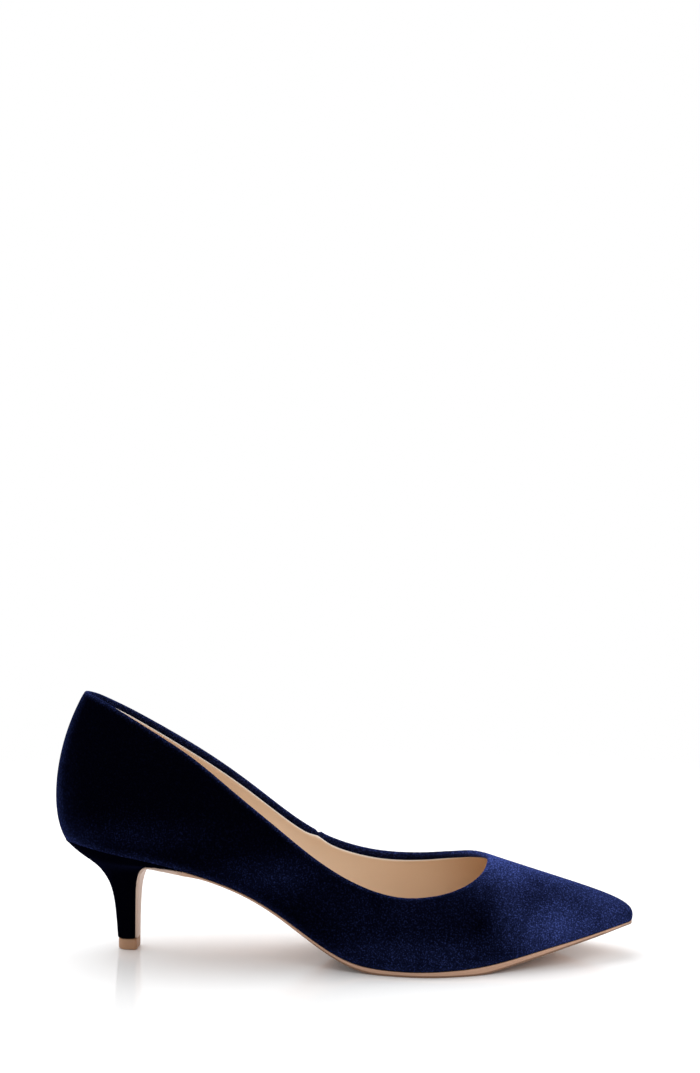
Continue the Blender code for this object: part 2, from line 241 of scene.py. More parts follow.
def walk(start, edge):
    ring = [start]
    while edge is not None and len(ring) < MOST_STEPS:
        point = edge.other_vert(ring[-1])
        if point == start:
            break
        ring.append(point)
        edge = straight_on(edge, point)
    return ring


def rays_of_wall(piece):
    # a table of point numbers: a row for each ray, starting on the topline and going down outside
    shape = bmesh.new()
    shape.from_mesh(piece.data)
    highest = max(shape.verts, key=lambda v: v.co.z)
    topline = walk(highest, max(highest.link_edges, key=lambda e: e.calc_length()))
    on_topline = set(topline)
    middle = sum((v.co for v in topline), topline[0].co * 0) / len(topline)
    rays = []
    for point in topline:
        ways = [e for e in point.link_edges if e.other_vert(point) not in on_topline]
        out = max(ways, key=lambda e: (e.other_vert(point).co - middle).xy.length)
        rays.append([v.index for v in walk(point, out)])
    shape.free()
    lengths = [len(ray) for ray in rays]
    usual = max(set(lengths), key=lengths.count)
    return np.array([ray for ray in rays if len(ray) == usual])


# %% The velvet wall's cage
velvet = cage_from("upper", "velvet_upper")
rays = rays_of_wall(velvet)
ray_points = points_of(velvet)[rays]
print("rays:", rays.shape[0], "points on each:", rays.shape[1])

# %% Distances along and down the wall
ring_heights = ray_points[:, :, 2].mean(axis=0)
FEATHER, INNER_RIM = sorted(int(k) for k in np.argsort(ring_heights)[:2])
steps = np.linalg.norm(np.diff(ray_points, axis=1), axis=2)
down = np.concatenate([np.zeros((len(rays), 1)), np.cumsum(steps, axis=1)], axis=1)
whole = down[:, -1:] + np.linalg.norm(ray_points[:, -1] - ray_points[:, 0], axis=1)[:, None]
from_fold = np.minimum(down, whole - down)
from_sole = np.abs(down - down[:, FEATHER : FEATHER + 1])
inside = np.broadcast_to(np.arange(rays.shape[1]) > FEATHER, rays.shape).astype(float)
topline_steps = np.linalg.norm(np.diff(ray_points[:, 0], axis=0), axis=1)
round_topline = np.concatenate([[0], np.cumsum(topline_steps)])
along_topline = np.broadcast_to(round_topline[:, None], rays.shape)
print("feather ring:", FEATHER, "inner rim ring:", INNER_RIM)
print("topline length in mm:", round(float(round_topline[-1]) / MM))
print("wall height at the back in mm:", round(float(down[0, FEATHER]) / MM, 1))


# %% Writing the distances on the cage
def spread_to_points(piece, numbers, table):
    # points that no ray met take the value of the nearest one that has it
    values = np.zeros(len(piece.data.vertices))
    values[numbers.ravel()] = table.ravel()
    missing = np.setdiff1d(np.arange(len(values)), numbers.ravel())
    places = points_of(piece)
    known = places[numbers.ravel()]
    for i in missing:
        nearest = np.argmin(np.linalg.norm(known - places[i], axis=1))
        values[i] = table.ravel()[nearest]
    return values


WALL_DISTANCES = {
    "from_fold": from_fold,
    "from_sole": from_sole,
    "inside": inside,
    "along": along_topline,
}
for name, table in WALL_DISTANCES.items():
    write_values(velvet, name, spread_to_points(velvet, rays, table))
print("values on the wall's points:", list(WALL_DISTANCES))

# %% [markdown]
# The lining
#
# A thin leather lining covers the inside of the wall up to the folded velvet band. A new sheet
# could be drawn there, but it would have to follow the wall at every point. So it is the inner
# half of the same cage, kept by deleting the rest, and given its own thickness with Solidify
# before the skin is smoothed. The cage's rings are too coarse to end where the band does, so they
# first slide down their rays to the band's edge.

# %% How far down the velvet band reaches
# the band's width at places along the shoe, and the side seam's place on the inner side
BAND_AT_X = (-127, -112, -70, 40, 52, 57, 61, 65)
BAND_WIDE_MM = (3.6, 3.8, 5.0, 4.7, 4.9, 5.8, 7.6, 10.5)
SEAM_X = -12.5 * MM
BAND_NOTCH_WIDE = 3.0 * MM
BAND_NOTCH_DEEP = 1.8 * MM


def band_wide(spots):
    # the band is narrower at the inner side's seam, where the lining runs up into its notch
    wide = np.interp(spots[:, 0] / MM, BAND_AT_X, BAND_WIDE_MM) * MM
    notch = BAND_NOTCH_DEEP * bump_shape(spots[:, 0] - SEAM_X, BAND_NOTCH_WIDE)
    return wide - notch * (spots[:, 1] > 0)


band = band_wide(ray_points[:, 0])
print("band in mm, narrowest and widest:", round(band.min() / MM, 1), round(band.max() / MM, 1))

# %% The inner rings slide down to the band's edge
LINING_TOP_GAP = 4 * MM
ROW_STEP = 0.8 * MM
CLOSE_ROWS = 3

lining = velvet.copy()
lining.data = velvet.data.copy()
lining.name = lining.data.name = "lining"
bpy.context.scene.collection.objects.link(lining)

# the highest ring under the fold, and the fold's own ring over it, are the lining's first rows
under_fold = max(k for k in range(INNER_RIM, rays.shape[1]) if from_fold[0, k] > LINING_TOP_GAP)
wall = list(range(under_fold + 1, INNER_RIM - 1, -1))
sheet_points = points_of(lining)
sheet_gaps = read_values(lining, "from_fold")
for i, ray in enumerate(rays):
    for row, ring in enumerate(wall):
        least = band[i] + row * ROW_STEP
        gap = least if row < CLOSE_ROWS else max(from_fold[i, ring], least)
        sheet_gaps[ray[ring]] = gap
        for axis in range(3):
            sheet_points[ray[ring], axis] = np.interp(gap, from_fold[i, wall], ray_points[i, wall, axis])
move_points(lining, sheet_points)
write_values(lining, "from_fold", sheet_gaps)
print("inner rings, mm from the fold:", [round(float(from_fold[0, k]) / MM, 1) for k in wall])

# %% Lining sheet from the inner half of the cage
LINING_THICK = 0.5 * MM
LINING_RIM_CREASE = 0.5


def keep_faces(piece, wanted):
    take(piece)
    for face in piece.data.polygons:
        face.select = not wanted(face)
    bpy.ops.object.mode_set(mode="EDIT")
    bpy.ops.mesh.select_mode(type="FACE")
    bpy.ops.mesh.delete(type="FACE")
    bpy.ops.mesh.select_all(action="DESELECT")
    bpy.ops.object.mode_set(mode="OBJECT")


lining_points = set(rays[:, wall].ravel().tolist())
keep_faces(lining, lambda face: all(v in lining_points for v in face.vertices))
sheet = lining.modifiers.new("lining leather", "SOLIDIFY")
sheet.thickness = LINING_THICK
sheet.offset = 1
sheet.use_even_offset = True
sheet.edge_crease_rim = LINING_RIM_CREASE
apply_modifiers(lining)
smooth_skin(lining, SKIN_LEVELS)
print("lining:", len(lining.data.polygons), "faces")

# %% [markdown]
# Painted highlight on the edge and painted shade in the depth
#
# The lining's rounded top edge catches the light along the band, and this is painted as a pale
# line. The leather is painted browner the deeper it lies under the vamp, as painted shade. A noise
# texture would put such places anywhere. Here two values on each point give the painted highlight
# and the painted shade, from its distance to the band and along the shoe.

# %% Where the lining gets its painted highlight and painted shade
EDGE_HIGHLIGHT_WIDE = 0.9 * MM
HIGHLIGHT_UP_TO, HIGHLIGHT_OUT_BY = 42 * MM, 55 * MM
SHADE_FROM, SHADE_TO = 38 * MM, 78 * MM
LINING_SHADE = 0.75


def write_pale_and_shade(piece, pale_and_highlight, painted_shade):
    write_values(piece, "pale_and_highlight", pale_and_highlight)
    write_values(piece, "painted_shade", painted_shade)


lining_places = points_of(lining)
from_band = read_values(lining, "from_fold") - band_wide(lining_places)
# painted highlight along the lining's top edge, fading out towards the throat
pale = bump_shape(from_band, EDGE_HIGHLIGHT_WIDE)
pale = pale * (1 - soft_step(lining_places[:, 0], HIGHLIGHT_UP_TO, HIGHLIGHT_OUT_BY))
# painted shade, growing towards the throat where the lining lies under the vamp
brown = LINING_SHADE * soft_step(lining_places[:, 0], SHADE_FROM, SHADE_TO)
write_pale_and_shade(lining, pale, brown)
print("lining points, pale and brown:", int((pale > 0.5).sum()), int((brown > 0.5).sum()))

# %% [markdown]
# The velvet wall
#
# The velvet is bonded to its backing and pulled tight over the last, so it has no loose folds. It
# could be remeshed and sculpted, but the cage already runs along the topline. So two levels of
# Subdivision Surface give an even skin, and its lower edge stays crisp, because it is creased first.

# %% Smooth skin with a crisp lower edge
FEATHER_CREASE = 0.75
INNER_RIM_CREASE = 1.0

feather_points = set(rays[:, FEATHER].tolist())
inner_points = set(rays[:, INNER_RIM].tolist())
crease_where(velvet, lambda a, b: a in feather_points and b in feather_points, FEATHER_CREASE)
crease_where(velvet, lambda a, b: a in inner_points and b in inner_points, INNER_RIM_CREASE)
smooth_skin(velvet, SKIN_LEVELS)
places = points_of(velvet)
outwards = normals_of(velvet)
fold_gap = read_values(velvet, "from_fold")
sole_gap = read_values(velvet, "from_sole")
inner = read_values(velvet, "inside")
along = read_values(velvet, "along")
move = np.zeros(len(places))
print("velvet skin:", len(velvet.data.polygons), "faces")

# %% [markdown]
# Puckers, seam and hollows
#
# The folded edge is pulled round the tight throat, which gathers the velvet in small puckers. The
# inner side has a pressed seam with a small notch where it meets the topline, and the outer side
# has a few broad, soft hollows. They could be sculpted, but a formula of the distance from the
# fold and along the topline keeps each form in its place. All are summed as one move outwards.

# %% Puckers of the fold
# where they are centred along the shoe, how far they spread, their pitch, their depth and how far
# they reach down from the fold, in mm
PUCKERS = (
    {"x": 66, "spread": 9, "pitch": 2.1, "depth": 0.13, "reach": 3.6},
    {"x": 30, "spread": 26, "pitch": 3.4, "depth": 0.04, "reach": 2.6},
)
DRIFT, DRIFT_RATE = 1.3, 0.31
SWELL, SWELL_RATE = 0.35, 0.83


def pucker_wave(along_mm, pitch):
    # the wave's pitch drifts a little, and its height swells and fades, so that no two are alike
    wave = np.sin(along_mm * 2 * math.pi / pitch + DRIFT * np.sin(along_mm * DRIFT_RATE))
    return wave * (1 - SWELL + SWELL * np.sin(along_mm * SWELL_RATE))


for row in PUCKERS:
    window = bump_shape(places[:, 0] / MM - row["x"], row["spread"])
    wave = pucker_wave(along / MM, row["pitch"])
    move += row["depth"] * MM * window * bump_shape(fold_gap / MM, row["reach"]) * wave
print("puckers in mm, deepest and highest:", round(move.min() / MM, 2), round(move.max() / MM, 2))

# %% Pressed seam and its notch on the inner side
SEAM_DEPTH, SEAM_WIDE = 0.22 * MM, 0.8 * MM
NOTCH_DEPTH, NOTCH_WIDE = 0.45 * MM, 0.9 * MM
NOTCH_REACH = 2.5 * MM
LIP_HIGH, LIP_AT = 0.3 * MM, -1.6 * NOTCH_WIDE

# the seam follows the ray whose topline point lies nearest to its place on the inner side
inner_rays = np.flatnonzero(ray_points[:, 0, 1] > 0)
seam_ray = min(inner_rays, key=lambda i: abs(ray_points[i, 0, 0] - SEAM_X))
seam_gap = along - round_topline[seam_ray]
medial = places[:, 1] > 0
lip = LIP_HIGH * bump_shape(seam_gap - LIP_AT, NOTCH_WIDE)
notch = NOTCH_DEPTH * bump_shape(seam_gap, NOTCH_WIDE) - lip
move -= np.where(medial, SEAM_DEPTH * bump_shape(seam_gap, SEAM_WIDE), 0)
move -= np.where(medial, bump_shape(fold_gap, NOTCH_REACH) * notch, 0)
print("seam on ray", int(seam_ray), "at x in mm:", round(float(ray_points[seam_ray, 0, 0]) / MM, 1))

# %% Broad hollows on the outer side
# centre along the shoe and up from the floor, spread and depth, in mm
HOLLOWS = (
    {"x": 34, "z": 17, "spread": 15, "depth": 0.25},
    {"x": 62, "z": 15, "spread": 11, "depth": 0.2},
    {"x": -30, "z": 52, "spread": 22, "depth": 0.3},
)
HOLLOW_FLATTER = 1.4

lateral_out = (places[:, 1] < 0) & (inner < 0.5)
for row in HOLLOWS:
    up_z = (places[:, 2] / MM - row["z"]) * HOLLOW_FLATTER
    far = np.hypot(places[:, 0] / MM - row["x"], up_z)
    move -= np.where(lateral_out, row["depth"] * MM * bump_shape(far, row["spread"]), 0)
move_points(velvet, places + outwards * move[:, None])
print("deepest and highest move in mm:", round(move.min() / MM, 2), round(move.max() / MM, 2))

# %% [markdown]
# Painted sheen and shade of the pile
#
# A velvet's pile is stroked one way or another as the shoe is made and handled, and where it leans
# towards the light it reads lighter. The shader's sheen could brighten edges alone, and noise has
# no place of its own. So the sheen and shade of the pile are painted into its colour, each area a
# soft oval given in the shoe's sizes, lighter as painted sheen and darker as painted shade. The
# fold, the band inside, the lower edge and the seam get a narrow painted highlight as well, the
# lower edge's standing for light from the floor. All of it is one value on each point, which the
# velvet's finish reads.

# %% Painted sheen and shade of the pile, area by area
# centre along the shoe and up from the floor, half lengths both ways, lean, and how much lighter as
# painted sheen (or, below nothing, darker as painted shade) the area reads, with sizes in mm
PAINTED_LIGHT_OVALS = (
    {"x": 114, "z": 22, "long": 26, "high": 20, "lean": 0.0, "lift": 0.165},
    {"x": 72, "z": 46, "long": 17, "high": 10, "lean": 0.0, "lift": 0.78},
    {"x": 97, "z": 38, "long": 18, "high": 8, "lean": -0.6, "lift": 0.27},
    {"x": 93, "z": 15, "long": 17, "high": 9, "lean": 0.0, "lift": 0.35},
    {"x": 73, "z": 27, "long": 8, "high": 9, "lean": 0.0, "lift": 0.10},
    {"x": 85, "z": 33, "long": 4, "high": 9, "lean": -0.4, "lift": -0.03},
    {"x": 118, "z": 31, "long": 12, "high": 6, "lean": 0.0, "lift": 0.15},
    {"x": 66, "z": 31, "long": 6, "high": 5, "lean": 0.0, "lift": -0.03},
    {"x": 60, "z": 19, "long": 4, "high": 4, "lean": 0.0, "lift": -0.015},
    {"x": 34, "z": 8, "long": 34, "high": 7, "lean": 0.0, "lift": 0.07},
    {"x": 24, "z": 24, "long": 32, "high": 14, "lean": 0.5, "lift": 0.02},
    {"x": -28, "z": 38, "long": 26, "high": 8, "lean": 0.8, "lift": 0.035},
    {"x": -84, "z": 54, "long": 30, "high": 6, "lean": 0.0, "lift": 0.015},
    {"x": -121, "z": 62, "long": 6, "high": 20, "lean": 0.0, "lift": 0.015},
    {"x": -114, "z": 50, "long": 12, "high": 6, "lean": 0.0, "lift": 0.03},
)
# narrow painted highlights along the fold, the band inside, the lower edge and the seam
FOLD_GLOW, FOLD_GLOW_WIDE = 0.10, 1.2 * MM
BAND_GLOW, BAND_GLOW_WIDE = 0.16, 4.0 * MM
EDGE_GLOW, EDGE_GLOW_WIDE = 0.06, 2.2 * MM
SEAM_GLOW, SEAM_GLOW_WIDE = 0.05, 2.0 * MM
SEAM_DARK = 2

painted_light = FOLD_GLOW * bump_shape(fold_gap, FOLD_GLOW_WIDE)
painted_light += BAND_GLOW * bump_shape(fold_gap, BAND_GLOW_WIDE) * inner
painted_light += EDGE_GLOW * bump_shape(sole_gap, EDGE_GLOW_WIDE)
# painted sheen on both sides of the pressed seam, where the pile opens, and a darker line in the seam
opened = bump_shape(seam_gap, SEAM_GLOW_WIDE) - SEAM_DARK * bump_shape(seam_gap, SEAM_WIDE)
painted_light += SEAM_GLOW * opened * medial * (1 - inner)
for row in PAINTED_LIGHT_OVALS:
    up_z = places[:, 2] / MM - row["z"]
    along_x = places[:, 0] / MM - row["x"] - row["lean"] * up_z
    painted_light += row["lift"] * np.exp(-((along_x / row["long"]) ** 2 + (up_z / row["high"]) ** 2))
write_values(velvet, "painted_light", painted_light)
print("brushed share from", round(float(painted_light.min()), 2), "to", round(float(painted_light.max()), 2))

# %% [markdown]
# Insole, outsole and heel cover
#
# The sock, the sole leather and the heel's velvet keep the form of their solids. Each is a copy with
# its sharp edges creased and rounded a little, so that light runs along the edges as it does on cut
# leather and stretched cloth.

# %% Copies with rounded edges
BEVEL_DEGREES = 50
BEVEL_SEGMENTS = 2
CREASE_DEGREES = 30
EDGE_CREASE = 0.6
PIECE_LEVELS = 1


def rounded_copy(node, name, edge_round):
    piece = cage_from(node, name)
    edges = piece.modifiers.new("rounded edges", "BEVEL")
    edges.width = edge_round
    edges.segments = BEVEL_SEGMENTS
    edges.limit_method = "ANGLE"
    edges.angle_limit = math.radians(BEVEL_DEGREES)
    edges.use_clamp_overlap = True
    apply_modifiers(piece)
    crease_sharp(piece, CREASE_DEGREES, EDGE_CREASE)
    smooth_skin(piece, PIECE_LEVELS)
    print(name, len(piece.data.polygons), "faces")
    return piece


sock = rounded_copy("insole", "sock", 0.3 * MM)
sole = rounded_copy("outsole", "outsole_leather", 0.22 * MM)
heel = rounded_copy("heel", "heel_cover", 0.5 * MM)
pad = rounded_copy("top_piece", "top_piece_pad", 0.15 * MM)

# %% [markdown]
# Where the heel runs out under the arch
#
# A covered heel's front end is pared to a fine edge, so that the sole passes under it without a
# step, and the sole's flap is glued flat on the heel's front. The solids keep some thickness and a
# small gap there. They could be cut again, but moving the points by less than a millimetre thins
# the one, closes the other and leaves the form as it is.

# %% Feather edge of the heel's seat
TAPER_FROM, TAPER_TO = -89 * MM, -66.2 * MM
TAPER_HIGH = 0.85 * MM
MEETS_UP = 0.2


def taper(piece, side):
    # side is -1 for the heel's underside and 1 for the sole's upper side that meets it
    spots, ways = points_of(piece), normals_of(piece)
    chosen = (side * ways[:, 2] > MEETS_UP) & (spots[:, 0] > TAPER_FROM)
    chosen &= (spots[:, 0] < TAPER_TO) | (side < 0)
    lift = TAPER_HIGH * soft_step(spots[:, 0], TAPER_FROM, TAPER_TO)
    spots[:, 2] += np.where(chosen, lift, 0)
    move_points(piece, spots)
    return int(chosen.sum())


print("points tapered on heel and sole:", taper(heel, -1), taper(sole, 1))

# %% Flap pressed on the heel's front
FLAP_BACK_X, FLAP_HIGH = -76 * MM, 46 * MM
FLAP_PRESS = 0.35 * MM
FACES_BACK = -0.3

flap_points, flap_ways = points_of(sole), normals_of(sole)
on_flap = (flap_points[:, 0] < FLAP_BACK_X) & (flap_points[:, 2] < FLAP_HIGH)
pressed = on_flap & (flap_ways[:, 0] < FACES_BACK)
flap_points[:, 0] -= FLAP_PRESS * pressed
move_points(sole, flap_points)
print("flap points pressed on the heel:", int(pressed.sum()))

# %% [markdown]
# Painted shade on the sole's edge
#
# The sole's cut edge has a painted shade, a dark line low down in front where its lower corner
# faces the floor, and a browner tone under the arch, while the flap is paler in its own tone. A line
# painted in a texture would need its own unwrapping. So the height over the lowest point beside each
# point says where the line runs, and the finish sharpens it.

# %% Painted shade in a dark line and under the arch, and the paler flap
LINE_FROM_X, LINE_FULL_X = -20 * MM, 10 * MM
LINE_HIGH = 0.8 * MM
LINE_MIDDLE, LINE_SOFT = 0.5, 0.08
NEARBY = 1.5 * MM
FACES_FLOOR, FACES_SIDE = -0.97, 0.6
ARCH_FROM_X = -70 * MM
ARCH_SHADE = LINE_MIDDLE - 0.4 * LINE_SOFT
FLAP_PALER = 0.25
FLAP_PALE_TO, FLAP_PALE_END = -72 * MM, -64 * MM
SOCK_SHADE = 0.5


def above_lowest(spots):
    # height of each point over the lowest point of the sole beside it
    heights = np.zeros(len(spots))
    for k, spot in enumerate(spots):
        beside = np.abs(spots[:, :2] - spot[:2]).max(axis=1) < NEARBY
        heights[k] = spot[2] - spots[beside, 2].min()
    return heights


def sole_edge_painted_shade(spots, ways):
    in_front = soft_step(spots[:, 0], LINE_FROM_X, LINE_FULL_X)
    # painted shade on the lower corner of the edge, which faces the floor
    lower_edge = np.clip(1 - LINE_MIDDLE * above_lowest(spots) / LINE_HIGH, 0, 1)
    lower_edge = lower_edge * (ways[:, 2] > FACES_FLOOR)
    # painted shade on the edge's side under the arch
    arch_edge = ARCH_SHADE * (np.abs(ways[:, 2]) < FACES_SIDE) * (spots[:, 0] > ARCH_FROM_X)
    return in_front * lower_edge + (1 - in_front) * arch_edge


sole_places = points_of(sole)
flap_pale = FLAP_PALER * (1 - soft_step(sole_places[:, 0], FLAP_PALE_TO, FLAP_PALE_END))
sole_painted_shade = sole_edge_painted_shade(sole_places, normals_of(sole))
write_pale_and_shade(sole, flap_pale, sole_painted_shade)
# painted shade on the sock, growing towards the throat where it lies under the vamp
sock_shade = SOCK_SHADE * soft_step(points_of(sock)[:, 0], SHADE_FROM, SHADE_TO)
write_pale_and_shade(sock, np.zeros(len(sock_shade)), sock_shade)
print("sole points in the dark line:", int((sole_painted_shade > LINE_MIDDLE).sum()))

# %% [markdown]
# Finishes
#
# Velvet is a dense pile that stands up from its backing. Seen straight on it swallows light, and
# it reads lighter where the pile is stroked over or seen along its tips. Sheen alone gives an even
# veil, so here the base colour itself runs from nearly black to a lit navy, led by the painted sheen
# and shade on each point, by flecks of single tufts and by a rim of sheen painted in with Layer
# Weight, with only a trace of shader sheen on top.

# %% Small helpers for node trees
BUMP_STRENGTH = 0.5


def add_node(tree, kind, place=(0, 0), **settings):
    node = tree.nodes.new(kind)
    node.location = place
    for key, value in settings.items():
        setattr(node, key, value)
    return node


def set_inputs(node, values):
    for key, value in values.items():
        node.inputs[key].default_value = value


def new_finish(name, colour, rough):
    finish = bpy.data.materials.new(name)
    finish.use_nodes = True
    shader = finish.node_tree.nodes["Principled BSDF"]
    set_inputs(shader, {"Base Color": (*colour, 1), "Roughness": rough})
    finish.diffuse_color = (*colour, 1)
    return finish, finish.node_tree, shader


def new_group(name, colours, amounts):
    # a shader group that takes colours and amounts and puts out the three things a finish needs
    group = bpy.data.node_groups.new(name, "ShaderNodeTree")
    socket = group.interface.new_socket
    for label, value in colours.items():
        socket(name=label, in_out="INPUT", socket_type="NodeSocketColor").default_value = value
    for label, value in amounts.items():
        socket(name=label, in_out="INPUT", socket_type="NodeSocketFloat").default_value = value
    socket(name="Color", in_out="OUTPUT", socket_type="NodeSocketColor")
    socket(name="Roughness", in_out="OUTPUT", socket_type="NodeSocketFloat")
    socket(name="Height", in_out="OUTPUT", socket_type="NodeSocketFloat")
    return group


def group_to_shader(tree, group_node, shader, distance):
    # the group's colour, roughness and height reach the shader, the height through a bump
    relief = add_node(tree, "ShaderNodeBump", (-200, -200))
    set_inputs(relief, {"Strength": BUMP_STRENGTH, "Distance": distance})
    tree.links.new(group_node.outputs["Color"], shader.inputs["Base Color"])
    tree.links.new(group_node.outputs["Roughness"], shader.inputs["Roughness"])
    tree.links.new(group_node.outputs["Height"], relief.inputs["Height"])
    tree.links.new(relief.outputs["Normal"], shader.inputs["Normal"])


# %% The pile group, used by the upper and by the heel
PILE_COLOURS = {"Deep": (0.002, 0.002, 0.008, 1), "Lit": (0.02, 0.03, 0.12, 1)}
PILE_AMOUNTS = {"Patch Size": 25.0, "Patch Share": 0.2, "Fleck Share": 0.4, "Painted Light": 0.0}
PATCH_NOISE = {"Detail": 4.0, "Roughness": 0.6, "Distortion": 0.4}
TUFT_NOISE = {"Scale": 1600.0, "Detail": 2.0, "Roughness": 0.6}
TIP_NOISE = {"Scale": 3200.0, "Detail": 1.0, "Roughness": 0.5}
# each row maps a noise or share from its first two numbers to its last two
PATCH_RANGE = (0.35, 0.65, -1.0, 1.0)
TUFT_RANGE = (0.55, 0.66, 0.0, 1.0)
GAP_RANGE = (0.36, 0.54, 0.45, 1.0)
ROUGH_RANGE = (0.0, 1.0, 0.95, 0.75)
FLECK_CURVE = 0.7
FLECK_LEAST = 0.01


def make_pile_group():
    group = new_group("velvet pile", PILE_COLOURS, PILE_AMOUNTS)
    given = add_node(group, "NodeGroupInput", (-1400, 0))
    result = add_node(group, "NodeGroupOutput", (900, 0))
    link = group.links.new
    where = add_node(group, "ShaderNodeTexCoord", (-1400, -300))

    def noise(values, place):
        texture = add_node(group, "ShaderNodeTexNoise", place)
        set_inputs(texture, values)
        link(where.outputs["Object"], texture.inputs["Vector"])
        return texture

    def spread(value, numbers, place):
        node = add_node(group, "ShaderNodeMapRange", place)
        set_inputs(node, dict(zip(("From Min", "From Max", "To Min", "To Max"), numbers)))
        link(value, node.inputs["Value"])
        return node.outputs["Result"]

    def maths(kind, a, b, place, clamp=False):
        node = add_node(group, "ShaderNodeMath", place, operation=kind, use_clamp=clamp)
        for k, value in enumerate((a, b)):
            if isinstance(value, float):
                node.inputs[k].default_value = value
            else:
                link(value, node.inputs[k])
        return node.outputs[0]

    # broad patches where the pile leans one way or the other
    patches = noise(PATCH_NOISE, (-1100, 300))
    link(given.outputs["Patch Size"], patches.inputs["Scale"])
    leaning = spread(patches.outputs["Fac"], PATCH_RANGE, (-850, 300))
    patch_part = maths("MULTIPLY", leaning, given.outputs["Patch Share"], (-600, 300))
    patch_part = maths("ADD", patch_part, 1.0, (-500, 300))
    # the painted sheen and shade, kept at zero or above, sets how far the colour runs from deep to lit
    lifted = maths("MAXIMUM", given.outputs["Painted Light"], 0.0, (-600, 150))
    body = maths("MULTIPLY", lifted, patch_part, (-400, 250), clamp=True)
    # flecks of single tufts that catch the light, and the dark gaps between tufts
    fine = noise(TUFT_NOISE, (-1100, -50)).outputs["Fac"]
    tufts = spread(fine, TUFT_RANGE, (-850, -50))
    gaps = spread(fine, GAP_RANGE, (-600, -150))
    fleck_power = maths("POWER", body, FLECK_CURVE, (-400, 50))
    fleck_power = maths("ADD", fleck_power, FLECK_LEAST, (-300, 50))
    fleck_part = maths("MULTIPLY", tufts, fleck_power, (-200, 0))
    fleck_part = maths("MULTIPLY", fleck_part, given.outputs["Fleck Share"], (-50, 0))
    body = maths("MULTIPLY", body, gaps, (-50, 200))
    lit = maths("ADD", body, fleck_part, (150, 150), clamp=True)
    mix = add_node(group, "ShaderNodeMix", (400, 150), data_type="RGBA")
    link(lit, mix.inputs["Factor"])
    link(given.outputs["Deep"], mix.inputs["A"])
    link(given.outputs["Lit"], mix.inputs["B"])
    link(mix.outputs["Result"], result.inputs["Color"])
    link(spread(lit, ROUGH_RANGE, (400, -150)), result.inputs["Roughness"])
    tips = noise(TIP_NOISE, (-600, -400)).outputs["Fac"]
    link(maths("ADD", fine, tips, (-300, -350)), result.inputs["Height"])
    return group


pile = make_pile_group()
print("pile group nodes:", len(pile.nodes))

# %% Velvet for the upper and the heel
# the deep navy is the velvet's own colour, the lit navy the colour that painted sheen mixes in
NAVY_DEEP = (0.0004, 0.0004, 0.0018)
NAVY_LIT = (0.046, 0.070, 0.265)
HEEL_LIT = (0.020, 0.026, 0.09)
UPPER_TINT = (0.12, 0.18, 0.7)
HEEL_TINT = (0.1, 0.15, 0.6)
PILE_ROUGH = 0.9
SHEEN_ROUGH = 0.3
RIM_START, RIM_BLEND = 0.45, 0.5
PILE_RELIEF = 0.06 * MM


def velvet_finish(name, lit, patch_size, patch_share, fleck_share, rim, sheen, tint):
    finish, tree, shader = new_finish(name, NAVY_DEEP, PILE_ROUGH)
    link = tree.links.new
    nap = add_node(tree, "ShaderNodeGroup", (-400, 200), node_tree=pile)
    set_inputs(nap, {"Deep": (*NAVY_DEEP, 1), "Lit": (*lit, 1)})
    set_inputs(nap, {"Patch Size": patch_size, "Patch Share": patch_share, "Fleck Share": fleck_share})
    hand = add_node(tree, "ShaderNodeAttribute", (-1000, 300), attribute_name="painted_light")
    # a rim from Layer Weight is sheen painted into the base colour, added to the painted sheen and shade on
    # the points
    edge_on = add_node(tree, "ShaderNodeLayerWeight", (-1000, 0))
    set_inputs(edge_on, {"Blend": RIM_BLEND})
    rim_part = add_node(tree, "ShaderNodeMapRange", (-800, 0), interpolation_type="SMOOTHSTEP")
    set_inputs(rim_part, {"From Min": RIM_START, "From Max": 1.0, "To Max": rim})
    total = add_node(tree, "ShaderNodeMath", (-600, 200), operation="ADD")
    link(edge_on.outputs["Facing"], rim_part.inputs["Value"])
    link(hand.outputs["Fac"], total.inputs[0])
    link(rim_part.outputs["Result"], total.inputs[1])
    link(total.outputs[0], nap.inputs["Painted Light"])
    group_to_shader(tree, nap, shader, PILE_RELIEF)
    set_inputs(shader, {"Specular IOR Level": 0.0, "Sheen Weight": sheen})
    set_inputs(shader, {"Sheen Roughness": SHEEN_ROUGH, "Sheen Tint": (*tint, 1)})
    return finish


upper_velvet = velvet_finish(
    "navy velvet", NAVY_LIT, patch_size=55, patch_share=0.3, fleck_share=1.35,
    rim=0.11, sheen=0.02, tint=UPPER_TINT,
)
heel_velvet = velvet_finish(
    "navy velvet on the heel", HEEL_LIT, patch_size=60, patch_share=0.2, fleck_share=0.5,
    rim=0.05, sheen=0.01, tint=HEEL_TINT,
)
print("velvets:", upper_velvet.name, "and", heel_velvet.name)

# %% [markdown]
# Leather for lining, sock and sole, and the tan top piece
#
# Leather has a fine pebbled grain, cloudy tones and a soft gloss. One group makes them all. It
# takes two values on each point, a paler tone, which is a painted highlight on the lining's edge and
# the flap's own paler face, and a painted shade, so that the marks written above show in each finish.

# %% The grain group
GRAIN_COLOURS = {
    "Pale": (0.7, 0.5, 0.36, 1),
    "Brown": (0.5, 0.3, 0.18, 1),
    "Dark": (0.2, 0.1, 0.06, 1),
}
GRAIN_AMOUNTS = {"Grain Size": 900.0, "Cloud Size": 30.0, "Rough": 0.5, "Pale And Highlight": 0.0, "Painted Shade": 0.0}
CLOUD_DETAIL = 3.0
CLOUD_ROUGH = 0.12
PALE_AND_HIGHLIGHT_TONE = (0.95, 0.90, 0.84, 1)


